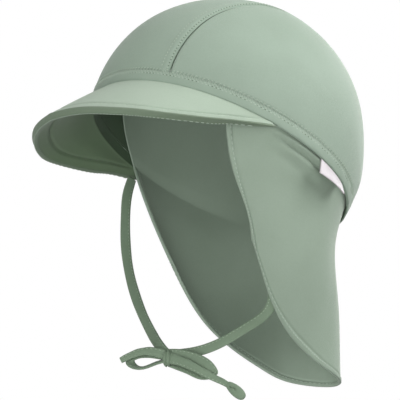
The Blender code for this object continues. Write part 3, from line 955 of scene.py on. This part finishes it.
        def place(s: float, t: float) -> Vector:
            across = 2 * s - 1
            start, end = wrap
            if t < start:
                _, here, normal = lip(across, lips[0], 1 - t / start)
                return here + normal * self.proud * smoothstep(t / fade)
            if t > end:
                out, here, normal = lip(across, lips[1], (t - end) / (1 - end))
                return here - normal * (self.thickness(across, out)
                                        + self.proud * smoothstep((1 - t) / fade))
            here, outward, normal = self.frame_at(across, 1.0)
            thick = self.thickness(across, 1.0)
            swing = math.pi * (t - start) / (end - start)
            level = 0.5 - 0.5 * math.cos(swing)
            bead = self.bead * bump(level, 0.90, 0.06) * smoothstep(thick / 0.002)
            out = self.rim_round * math.sin(swing) ** 0.6 + self.proud * math.sin(swing) ** 0.4 + bead
            return here + outward * out + normal * (self.proud - (thick + 2 * self.proud) * level)

        mesh = grid(180, 36, place, (270.0, 9.0))
        thicken(mesh, Vector((0, -0.05, 0.02)), 0.00016)
        make_piece(mesh, "peak_binding", [BINDING], Slot.SHELL)

    def _stitches(self) -> None:
        """A row in the bead, one on the upper side and one on the underside, along the rim."""
        def along_bead(share: float) -> Seat:
            across = (2 * share - 1) * 0.96
            here, outward, normal = self.frame_at(across, 1.0)
            down = 0.87 * self.thickness(across, 1.0)
            return here + outward * (0.0007 + self.bead) - normal * down, outward

        def above(share: float) -> Seat:
            across = (2 * share - 1) * 0.93
            here, _, normal = self.frame_at(across, inside(self.row_at(across), across))
            return here - normal * 0.00035, normal

        def below(share: float) -> Seat:
            across = (2 * share - 1) * 0.86
            out = inside(self.under_row, across)
            here, _, normal = self.frame_at(across, out)
            return here - normal * (self.thickness(across, out) - 0.00065), -normal

        def inside(row: float, across: float) -> float:
            return 1 - min(row / self.depth(across), 0.8)

        # The underside's row is in the dark thread, painted shade.
        for name, thread, path, length, pitch, width, height in (
                ("rim_stitches", THREAD, along_bead, 0.24, 0.0022, 0.00050, 0.00050),
                ("peak_stitches", THREAD, above, 0.21, 0.0028, 0.00036, 0.00040),
                ("peak_under_stitches", SHADED_UNDER_THREAD, below, 0.21, 0.0028, 0.00036, 0.00040)):
            rows = Stitching(name, thread)
            rows.row(path, length, pitch, width, height)
            rows.build()


@dataclass
class Flap:
    """The neck flap: one hanging sheet whose cloth runs on inside the crown."""

    cloth: float = 0.0009
    length: float = 0.0930
    facing_level: float = 0.0560
    facing_ease: float = 0.0007
    inset: float = 0.0021
    fold_depth: float = 0.0022
    # Puckers under the hem in front of the label: place below it, width and share of the depth.
    pucker: Rows = ((0.09, 0.042, 0.85), (0.190, 0.048, -0.85), (0.37, 0.080, 0.40), (0.58, 0.120, -0.40))
    hem_width: float = 0.0026
    hem_raise: float = 0.00045
    groove: float = 0.00038
    row_in: float = 0.0021
    rows: int = 24
    sides: tuple[float, ...] = (-1.0, -0.72, -0.42, -0.20, 0.0, 0.20, 0.42, 0.72, 1.0)
    stations: tuple[float, ...] = (0.0, 7 / 24, 11 / 24, 17 / 24, 1.0)
    # Shares of the half-width, the reach at the back and the flap's length, side by side.
    under_hem: Rows = (
        (-0.813, -0.312, -0.039), (-0.835, 0.110, -0.262), (-0.610, 0.560, -0.420),
        (-0.345, 0.705, -0.520), (0.000, 0.815, -0.560), (0.350, 0.695, -0.520),
        (0.620, 0.510, -0.425), (0.845, 0.015, -0.240), (0.790, -0.465, -0.102))
    neck: Rows = (
        (-0.705, -0.250, -0.291), (-0.700, 0.100, -0.610), (-0.520, 0.560, -0.760),
        (-0.300, 0.750, -0.860), (0.000, 0.860, -0.890), (0.310, 0.740, -0.860),
        (0.530, 0.530, -0.770), (0.705, 0.040, -0.620), (0.705, -0.294, -0.377))
    bottom: Rows = (
        (-0.623, -0.140, -0.552), (-0.490, 0.085, -0.945), (-0.350, 0.460, -1.205),
        (-0.270, 0.710, -1.292), (0.000, 0.915, -1.325), (0.270, 0.710, -1.298),
        (0.358, 0.450, -1.215), (0.508, 0.088, -1.000), (0.644, -0.187, -0.591))
    # Angles of the wearer's right and left front edges, at the facing's top and at the hem.
    edge_facing: tuple[float, float] = (-56.0, 50.0)
    edge_hem: tuple[float, float] = (-73.0, 59.5)
    # Soft folds of the hanging cloth: side, down, width along side, width down, slope, height.
    folds: Rows = (
        (0.56, 0.62, 0.10, 0.30, 0.25, 0.0012), (0.34, 0.75, 0.09, 0.26, -0.10, -0.0012),
        (0.74, 0.48, 0.07, 0.18, 0.60, -0.0008), (-0.50, 0.70, 0.12, 0.30, 0.10, 0.0012),
        (-0.72, 0.55, 0.09, 0.26, -0.20, -0.0010), (0.12, 0.80, 0.08, 0.30, 0.0, 0.0010),
        (-0.22, 0.78, 0.09, 0.28, 0.10, -0.0010))
    _lines: dict[float, list[Vector]] = field(default_factory=dict)

    def _line_at(self, side: float) -> list[Vector]:
        """Points of one lengthwise line, from the facing's top to the bottom edge."""
        angles = []
        for right, left in (self.edge_facing, self.edge_hem):
            edge = math.radians(left if side >= 0 else -right)
            angles.append(math.pi - abs(side) * (math.pi - edge))
        points = [FORM.wall(angles[0], self.facing_level, self.inset), FORM.hem(angles[1], 0.0, self.inset)]
        points = [Vector((math.copysign(p.x, side), p.y, p.z)) for p in points]
        sizes = np.array([FORM.half_width, FORM.reach_back, self.length])
        return points + [Vector(spline(self.sides, table, side) * sizes)
                         for table in (self.under_hem, self.neck, self.bottom)]

    def surface(self, side: float, down: float) -> Vector:
        """Find a point of the flap's outer face.

        Args:
            side: -1 at the wearer's right front edge, 1 at the left one.
            down: 0 at the facing's top, 1 at the bottom edge.

        Returns:
            The point in metres.
        """
        key = round(side, 6)
        if key not in self._lines:
            self._lines[key] = self._line_at(side)
        points = self._lines[key]
        hem_at = self.stations[1]
        if down <= hem_at:
            return self._facing(points, side, down / hem_at)
        point = Vector(spline(self.stations[1:], [tuple(p) for p in points[1:]], down))
        outward = Vector((point.x, point.y, 0)).normalized()
        below = (down - hem_at) / (self.stations[2] - hem_at)
        drawn = smoothstep((side - 0.57) / 0.07) * smoothstep((0.87 - side) / 0.16)
        if 0 < below < 1.2 and drawn > 0:
            wave = sum(share * bump(below, place, wide) for place, wide, share in self.pucker)
            point += outward * self.fold_depth * wave * drawn
        below_hem = smoothstep((down - hem_at) / 0.15)
        for fold_side, fold_down, wide, tall, slope, height in self.folds:
            centre = fold_side + slope * (down - fold_down)
            point += outward * height * below_hem * bump(side, centre, wide) * bump(down, fold_down, tall)
        return point

    def _facing(self, points: list[Vector], side: float, share: float) -> Vector:
        """Point of the cloth inside the crown, at a share of the way from its top to the hem."""
        top, hem = points[:2]
        inset = self.inset + self.facing_ease * min((1 - share) * self.rows / 4, 1)
        z = top.z + (hem.z - top.z) * share
        start, end = (math.atan2(abs(p.x), -p.y) for p in (top, hem))
        angle = start + (end - start) * share
        half_y = FORM.half_length(-math.cos(angle))
        turned = math.atan2(math.sin(angle) / FORM.half_width, math.cos(angle) / half_y)
        flat = FORM.wall(turned, z, inset)
        return Vector((math.copysign(flat.x, side), flat.y, z))

    def half_round(self, down: float) -> float:
        """Half the sheet's width at a height, for distances from its front edges."""
        return 0.5 * (0.235 - 0.13 * smoothstep((down - 0.29) / 0.7))

    def full_drop(self, side: float) -> float:
        """The sheet's length at a side, for distances from its bottom edge."""
        return 0.050 + 0.110 * (1 - abs(side)) ** 0.8

    def normal_at(self, side: float, down: float, step: float = 0.01) -> Vector:
        """Outward direction of the sheet at a place."""
        a = self.surface(min(side + step, 1.0), down) - self.surface(max(side - step, -1.0), down)
        b = self.surface(side, min(down + step, 1.0)) - self.surface(side, max(down - step, 0.0))
        normal = a.cross(b).normalized()
        middle = self.surface(side, down)
        return normal if normal.dot(Vector((middle.x, middle.y, 0))) > 0 else -normal

    def _offset(self, side: float, down: float, inner: bool) -> float:
        """Distance of one face from the outer line of the sheet, with the doubled and rounded hem."""
        hangs = down > self.stations[1]
        from_front, from_low = (1 - abs(side)) * self.half_round(down), (1 - down) * self.full_drop(side)
        from_edge = min(from_front, from_low) if hangs else 1.0
        doubled = self.hem_raise * smoothstep((self.hem_width - from_edge) / 0.0005)
        groove = self.groove * bump(from_edge, self.hem_width + 0.0006, 0.0005)
        edge = min(from_edge / 0.0007 if hangs else down / 0.01, 1.0, (1 - abs(side)) / 0.004)
        half = self.cloth / 2
        lift = (half + doubled - groove) * math.sqrt(max(1 - (1 - edge) ** 2, 0.0))
        return -half - lift if inner else lift - half

    def build(self) -> None:
        """Make the sheet, with a doubled hem along its free edges, and its stitches."""
        size = (270.0, 190.0)
        base = grid(190, 150, lambda s, t: self.surface(2 * s - 1, t), size, True)
        face_away(base, Vector())
        layers = []
        for inner in (False, True):
            layers.append(base.copy())
            cloth_map = layers[-1].loops.layers.uv[UV_NAME]
            moved = {}
            for vertex in layers[-1].verts:
                s, t = vertex.link_loops[0][cloth_map].uv
                offset = self._offset(2 * s / size[0] - 1, t / size[1], inner)
                moved[vertex] = vertex.co + vertex.normal * offset
            for vertex, place in moved.items():
                vertex.co = place
        base.free()
        mesh = join(layers)
        weld(mesh, 2e-6)
        obj = make_piece(mesh, "flap_cloth", [FLAP_CLOTH], Slot.SHELL, "neck_flap")
        self._stitches()

    def _stitches(self) -> None:
        """One row round the flap's free edges, on both faces."""
        def front(share: float, inner: bool, sign: int) -> Seat:
            down = 0.30 + 0.665 * share
            return on_face(sign * (1 - self.row_in / self.half_round(down)), down, inner)

        def low(share: float, inner: bool) -> Seat:
            side = -0.965 + 1.93 * share
            return on_face(side, 1 - self.row_in / self.full_drop(side), inner)

        def on_face(side: float, down: float, inner: bool) -> Seat:
            normal = self.normal_at(side, down)
            point = self.surface(side, down) + normal * self._offset(side, down, inner)
            return point, -normal if inner else normal

        rows = Stitching("flap_stitches")
        for inner in (False, True):
            for path, length in ((lambda share: front(share, inner, -1), 0.085),
                                 (lambda share: front(share, inner, 1), 0.085),
                                 (lambda share: low(share, inner), 0.24)):
                rows.row(path, length, 0.0024, 0.00052, 0.00046)
        rows.build()


@dataclass
class LabelTag:
    """The small bare ribbon label folded and sewn in under the hem."""

    start: float = math.radians(103.5)
    end: float = math.radians(121)
    height: float = 0.0090
    narrows: float = 0.20
    lean: tuple[float, float] = (0.0012, 0.0032)
    swing: float = 0.0026
    curl: float = 0.0005
    cloth: float = 0.0010
    gap: float = 0.0004

    def build(self) -> None:
        """Make the folded ribbon with its rounded lower fold."""
        def place(s: float, t: float) -> Vector:
            top = FORM.hem(self.start + (self.end - self.start) * s, above=-self.gap)
            outward = Vector((top.x, top.y, 0)).normalized()
            forward = Vector((top.y, -top.x, 0)).normalized() * self.swing
            up, out = squared(math.cos(TURN * t), 0.3), squared(math.sin(TURN * t), 0.6)
            down = (0.5 - 0.5 * up) * (1 - self.narrows * s)
            lean = self.lean[0] + (self.lean[1] - self.lean[0]) * s + self.curl * math.sin(math.pi * s)
            thick = self.cloth * (0.5 - 0.5 * out)
            return top + outward * (lean * down - thick) - UP * self.height * down + forward * down

        mesh = grid(40, 40, place, (18.0, 20.0))
        weld(mesh, fill=True)
        make_piece(mesh, "label_ribbon", [LABEL], Slot.LABEL, "label_tag")


@dataclass
class Ribbon:
    """A flat strap of folded cloth with soft edges and one row of stitches."""

    name: str
    node: str
    points: list[Vector]
    faces: list[Vector]
    width: float = 0.0058
    width_end: float | None = None
    thick: float = 0.0016
    segments: int = 110
    hollow: bool = False

    def __post_init__(self) -> None:
        """Measure the route."""
        steps = [0.0]
        for a, b in zip(self.points, self.points[1:]):
            steps.append(steps[-1] + (b - a).length)
        self.keys = [s / steps[-1] for s in steps]

    def centre(self, share: float) -> Vector:
        """Point of the strap's middle line."""
        return Vector(spline(self.keys, [tuple(p) for p in self.points], min(max(share, 0), 1)))

    def axes(self, share: float, step: float = 0.004) -> tuple[Vector, Vector]:
        """Directions across the strap and out of its broad side."""
        tangent = (self.centre(share + step) - self.centre(share - step)).normalized()
        facing = Vector(spline(self.keys, [tuple(f) for f in self.faces], share))
        across = tangent.cross(facing).normalized()
        return across, across.cross(tangent).normalized()

    def path(self, count: int = 60) -> list[Vector]:
        """The middle line as points."""
        return [self.centre(i / count) for i in range(count + 1)]

    def length(self) -> float:
        """Length of the middle line."""
        line = self.path()
        return sum((b - a).length for a, b in zip(line, line[1:]))

    def width_at(self, share: float) -> float:
        """Width at a share of the length."""
        end = self.width if self.width_end is None else self.width_end
        return self.width + (end - self.width) * share

    def build(self) -> bpy.types.Object:
        """Sweep the strap's soft section along its route.

        Returns:
            The piece.
        """
        def place(s: float, t: float) -> Vector:
            inner = 1.0
            if self.hollow:
                # The open end: the section turns inwards and runs back inside the tube.
                back = max(s - 0.94, 0.0) / 0.06
                inner = 1 - 0.30 * smoothstep(back / 0.3)
                s = min(s / 0.94, 1.0) - 0.10 * max(back - 0.3, 0.0)
            across, out = self.axes(s)
            flat, full = squared(math.cos(TURN * t), 0.75), squared(math.sin(TURN * t), 0.7)
            width = self.width_at(s) * (1 + 0.03 * math.sin(s * 23))
            plump = self.thick * 0.5 * (1 - 0.10 * bump(flat, 0.45, 0.16) - 0.06 * math.sin(s * 61) ** 2)
            return self.centre(s) + (across * width * 0.5 * flat + out * plump * full) * inner

        mesh = grid(self.segments, 24, place, (self.length() * 1000, self.width * 2200))
        weld(mesh, fill=True)
        return make_piece(mesh, self.name, [TIE], Slot.TIE, self.node)

    def sew(self, side: float) -> bpy.types.Object:
        """Add a row of stitches on both broad sides.

        Args:
            side: Place across the strap, from -1 to 1.

        Returns:
            The stitches' piece.
        """
        rows = Stitching(self.name.replace("cloth", "stitches"), THREAD_DARK, Slot.TIE)
        lift = self.thick * 0.5 * 0.88 * (1 - side * side) ** 0.35
        for face in (1, -1):
            def line(share: float, face: int = face) -> Seat:
                share = 0.01 + 0.98 * share
                across, out = self.axes(share)
                point = self.centre(share) + across * side * self.width_at(share) * 0.5
                return point + out * face * lift, out * face
            rows.row(line, self.length(), 0.0024, 0.00048, 0.00042)
        return rows.build()


@dataclass
class Ties:
    """The two chin straps and the bow they are tied in."""

    knot: tuple[float, float, float] = (-0.0080, -0.0370, -0.1171)
    knot_halves: tuple[float, float, float] = (0.0031, 0.0053, 0.0042)
    end_halves: tuple[float, float, float] = (0.0070, 0.0033, 0.0018)
    end_dip: float = math.radians(42)
    # x, y, z, then the way the broad side faces in x and y
    strap_right: Rows = (
        (-0.0690, -0.0250, 0.0037, 1.0, -0.05), (-0.0668, -0.0290, -0.0050, 0.95, -0.30),
        (-0.0625, -0.0332, -0.0201, 0.85, -0.53), (-0.0583, -0.0357, -0.0368, 0.85, -0.53),
        (-0.0538, -0.0370, -0.0512, 0.85, -0.53), (-0.0405, -0.0384, -0.0771, 0.82, -0.57),
        (-0.0324, -0.0386, -0.0889, 0.78, -0.62), (-0.0232, -0.0387, -0.1001, 0.74, -0.67),
        (-0.0140, -0.0394, -0.1087, 0.71, -0.71), (-0.0084, -0.0384, -0.1142, 0.71, -0.71))
    strap_left: Rows = (
        (0.0640, -0.0275, 0.0090, 1.0, -0.40), (0.0575, -0.0215, -0.0090, 1.0, -0.25),
        (0.0500, -0.0110, -0.0370, 1.0, -0.20), (0.0430, -0.0010, -0.0640, 1.0, -0.30),
        (0.0370, 0.0060, -0.0810, 0.9, -0.45), (0.0300, 0.0075, -0.0905, 0.8, -0.60),
        (0.0210, -0.0020, -0.1005, 0.75, -0.66), (0.0120, -0.0129, -0.1086, 0.71, -0.71),
        (0.0009, -0.0233, -0.1133, 0.71, -0.71), (-0.0078, -0.0334, -0.1146, 0.71, -0.71))
    # From the knot's middle: along, up, out, then the broad side's turn from out to up
    loop_front: Rows = (
        (-0.0012, 0.0020, -0.0026, 0.0), (-0.0110, 0.0038, -0.0034, 0.0),
        (-0.0180, 0.0032, -0.0022, 0.3), (-0.0226, -0.0006, -0.0008, 0.5),
        (-0.0190, -0.0046, 0.0004, 0.70), (-0.0132, -0.0050, 0.0008, 0.74),
        (-0.0074, -0.0030, 0.0006, 0.72), (-0.0012, -0.0014, 0.0002, 0.70))
    loop_rear: Rows = (
        (0.0012, 0.0022, 0.0002, 0.0), (0.0120, 0.0006, 0.0004, 0.0),
        (0.0200, -0.0030, 0.0006, 0.1), (0.0250, -0.0070, 0.0002, 0.3),
        (0.0262, -0.0104, -0.0008, 0.5), (0.0214, -0.0112, -0.0020, 0.45),
        (0.0130, -0.0078, -0.0026, 0.40), (0.0012, -0.0028, -0.0026, 0.45))
    tail_short: Rows = (
        (-0.0012, 0.0016, 0.0018, 0.0), (-0.0080, 0.0036, 0.0023, 0.0),
        (-0.0140, 0.0040, 0.0022, 0.0), (-0.0190, 0.0030, 0.0022, 0.0),
        (-0.0275, -0.0006, 0.0022, 0.0))
    tail_long: Rows = (
        (0.0012, -0.0004, 0.0018, 0.0), (0.0120, -0.0046, 0.0033, 0.0),
        (0.0200, -0.0092, 0.0035, 0.0), (0.0280, -0.0136, 0.0028, 0.0),
        (0.0338, -0.0166, 0.0026, 0.0), (0.0356, -0.0178, 0.0026, 0.0))

    def _strap(self, name: str) -> Ribbon:
        """A strap from its route in the cap's frame."""
        route = getattr(self, name)
        points = [Vector(row[:3]) for row in route]
        faces = [Vector((row[3], row[4], 0.0)).normalized() for row in route]
        return Ribbon(f"{name}_cloth", f"tie_{name}", points, faces, segments=200)

    def _bow_ribbon(self, name: str, **sizes: object) -> Ribbon:
        """A loop or a tail from its route in the bow's own directions."""
        points, faces = [], []
        for along, up, out, turn in getattr(self, name):
            points.append(Vector(self.knot) + ALONG * along + UP * up + OUT * out)
            quarter = 0.5 * math.pi * turn
            faces.append(OUT * math.cos(quarter) + UP * math.sin(quarter))
        return Ribbon(f"{name}_cloth", f"bow_{name}", points, faces, **sizes)

    def build(self) -> None:
        """Make the straps, the bow and their stitches."""
        right, left = self._strap("strap_right"), self._strap("strap_left")
        front = self._bow_ribbon("loop_front", width=0.0055)
        rear = self._bow_ribbon("loop_rear", width=0.0062)
        short = self._bow_ribbon("tail_short", width_end=0.0036, hollow=True)
        long = self._bow_ribbon("tail_long", width=0.0062, width_end=0.0034)
        made, sewn = {}, {}
        for ribbon, side in ((right, -0.62), (left, 0.62), (front, 0.6), (rear, -0.6),
                             (short, 0.6), (long, 0.6)):
            made[ribbon.name] = ribbon.build()
            sewn[ribbon.name] = ribbon.sew(side)
        knot = self._lump("knot_cloth", "bow_knot", Vector(self.knot), (ALONG, UP, OUT),
                          self.knot_halves, self._creases)
        along = (ALONG * math.cos(self.end_dip) - UP * math.sin(self.end_dip)).normalized()
        middle = long.points[-1] + along * (self.end_halves[0] - 0.0008) + UP * 0.0006
        end = self._lump("tail_end_cloth", "tail_end_knot", middle,
                         (along, OUT.cross(along).normalized(), OUT), self.end_halves, self._slit)
        for ribbon, others in ((right, [knot, made[short.name], sewn[short.name]]), (left, []),
                               (front, []), (rear, []), (long, [end])):
            tuple(ribbon.points[0])
            ribbon.length()
            [tuple(p) for p in ribbon.path()]
            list(others)

    def _creases(self, turn: float, a: float) -> float:
        """Relief of the knot: one wrap of strap with two creases round it."""
        creases = 0.24 * bump(a, -0.15, 0.10) + 0.24 * bump(a, 0.52 + 0.1 * math.sin(turn), 0.10)
        return 1 - creases + 0.03 * math.sin(turn * 3 + a * 4)

    def _slit(self, turn: float, a: float) -> float:
        """Relief of the long tail's folded end, with the slit of its fold."""
        slit = 0.95 * bump(turn, 0.5 * math.pi + 0.25 * math.sin(a * 9), 0.15)
        slit *= smoothstep((0.34 - abs(a + 0.30)) / 0.12)
        return (0.80 + 0.20 * smoothstep((a + 1) / 1.2)) * (1 - slit)

    def _lump(self, name: str, node: str, middle: Vector, axes: tuple[Vector, Vector, Vector],
              halves: tuple[float, float, float],
              relief: Callable[[float, float], float]) -> bpy.types.Object:
        """A soft rounded form with its own relief.

        Args:
            name: The piece's name.
            node: The CAD node it stands for.
            middle: Its middle.
            axes: Its three directions.
            halves: Half its size along them.
            relief: Share of the radius for a bearing round the first direction and a place along it.

        Returns:
            The piece.
        """
        along, up, out = axes

        def place(s: float, t: float) -> Vector:
            turn, lift = TURN * s, math.pi * (t - 0.5)
            a = squared(math.sin(lift), 0.8)
            ring = abs(math.cos(lift)) ** 0.75 * relief(turn, a)
            return (middle + along * halves[0] * a + up * halves[1] * ring * math.cos(turn)
                    + out * halves[2] * ring * math.sin(turn))

        mesh = grid(64, 40, place, (30.0, 14.0))
        weld(mesh)
        return make_piece(mesh, name, [TIE], Slot.TIE, node)


# Camera, light and floor

@dataclass
class Studio:
    """The photograph's view, soft light and a plain pale surround."""

    azimuth: float = 58
    elevation: float = -14
    target: tuple[float, float, float] = (-0.0163, -0.0102, -0.0183)
    distance: float = 2.4
    width: float = 0.2340
    sensor: float = 36.0
    ambient: float = 0.27
    floor_level: float = -1.05
    floor_glow: float = 0.62
    # Square softboxes: azimuth and elevation in degrees, distance and size in metres, power.
    lights: Rows = (
        (138, 30, 1.3, 0.9, 16.5), (62, 74, 1.2, 0.8, 7.0), (210, 20, 1.5, 1.0, 9.0),
        (50, -20, 1.6, 1.5, 22.5), (0, -32, 1.5, 1.0, 3.8))
    names: tuple[str, ...] = ("key", "top", "back", "fill", "low")

    def _aim(self, name: str, data: bpy.types.ID, azimuth: float, elevation: float, distance: float,
             centre: Vector) -> bpy.types.Object:
        """Place a camera or a light round a centre, looking at it.

        Args:
            name: Its name.
            data: Its data.
            azimuth: Degrees from the forehead towards the wearer's left.
            elevation: Degrees above the centre.
            distance: Metres from the centre.
            centre: What it looks at.

        Returns:
            The linked object.
        """
        round_it, above = math.radians(azimuth), math.radians(elevation)
        direction = Vector((math.cos(above) * math.sin(round_it), -math.cos(above) * math.cos(round_it),
                            math.sin(above)))
        obj = bpy.data.objects.new(name, data)
        bpy.context.scene.collection.objects.link(obj)
        obj.location = centre + direction * distance
        obj.rotation_euler = direction.to_track_quat("Z", "Y").to_euler()
        return obj

    def _surround(self) -> None:
        """A white surround that lights the cap more softly than it shows."""
        world = bpy.data.worlds.new("surround")
        world.use_nodes = True
        tree = world.node_tree
        ray = tree.nodes.new("ShaderNodeLightPath")
        level = tree.nodes.new("ShaderNodeMapRange")
        level.inputs["To Min"].default_value = self.ambient
        level.inputs["To Max"].default_value = 1.0
        tree.links.new(ray.outputs["Is Camera Ray"], level.inputs["Value"])
        shade = tree.nodes["Background"]
        shade.inputs["Color"].default_value = linear("#ffffff")
        tree.links.new(level.outputs["Result"], shade.inputs["Strength"])
        bpy.context.scene.world = world

    def _floor(self) -> None:
        """A plain pale floor. Its glow keeps it pale and doesn't light the cap."""
        mesh = bmesh.new()
        bmesh.ops.create_grid(mesh, x_segments=1, y_segments=1, size=4.0)
        for vertex in mesh.verts:
            vertex.co.z = self.floor_level
        pale = linear("#f2f2f0")
        material = NodeBuilder("pale_floor").shade(
            Base_Color=pale, Roughness=0.9, Emission_Color=pale, Emission_Strength=self.floor_glow)
        floor = link_mesh(mesh, "floor", [material])
        floor.visible_diffuse = False
        floor.visible_glossy = False

    def build(self) -> None:
        """Make the camera, the lights, the world and the floor."""
        camera = bpy.data.cameras.new("camera")
        camera.sensor_width = self.sensor
        camera.lens = self.sensor * self.distance / self.width
        camera.clip_end = 20.0
        bpy.context.scene.camera = self._aim("camera", camera, self.azimuth, self.elevation,
                                             self.distance, Vector(self.target))
        for name, (azimuth, elevation, distance, size, power) in zip(self.names, self.lights):
            light = bpy.data.lights.new(name, "AREA")
            light.size = size
            light.energy = power
            self._aim(name, light, azimuth, elevation, distance, Vector())
        self._surround()
        bpy.context.scene.view_settings.view_transform = "Standard"
        self._floor()


def main() -> None:
    """Build the scene piece by piece."""
    logging.basicConfig(level=logging.INFO, format="%(relativeCreated)d %(name)s: %(message)s")
    for part in (Studio(), Ties(), Crown(), Peak(), Flap(), LabelTag()):
        part.build()


if __name__ == "__main__":
    main()
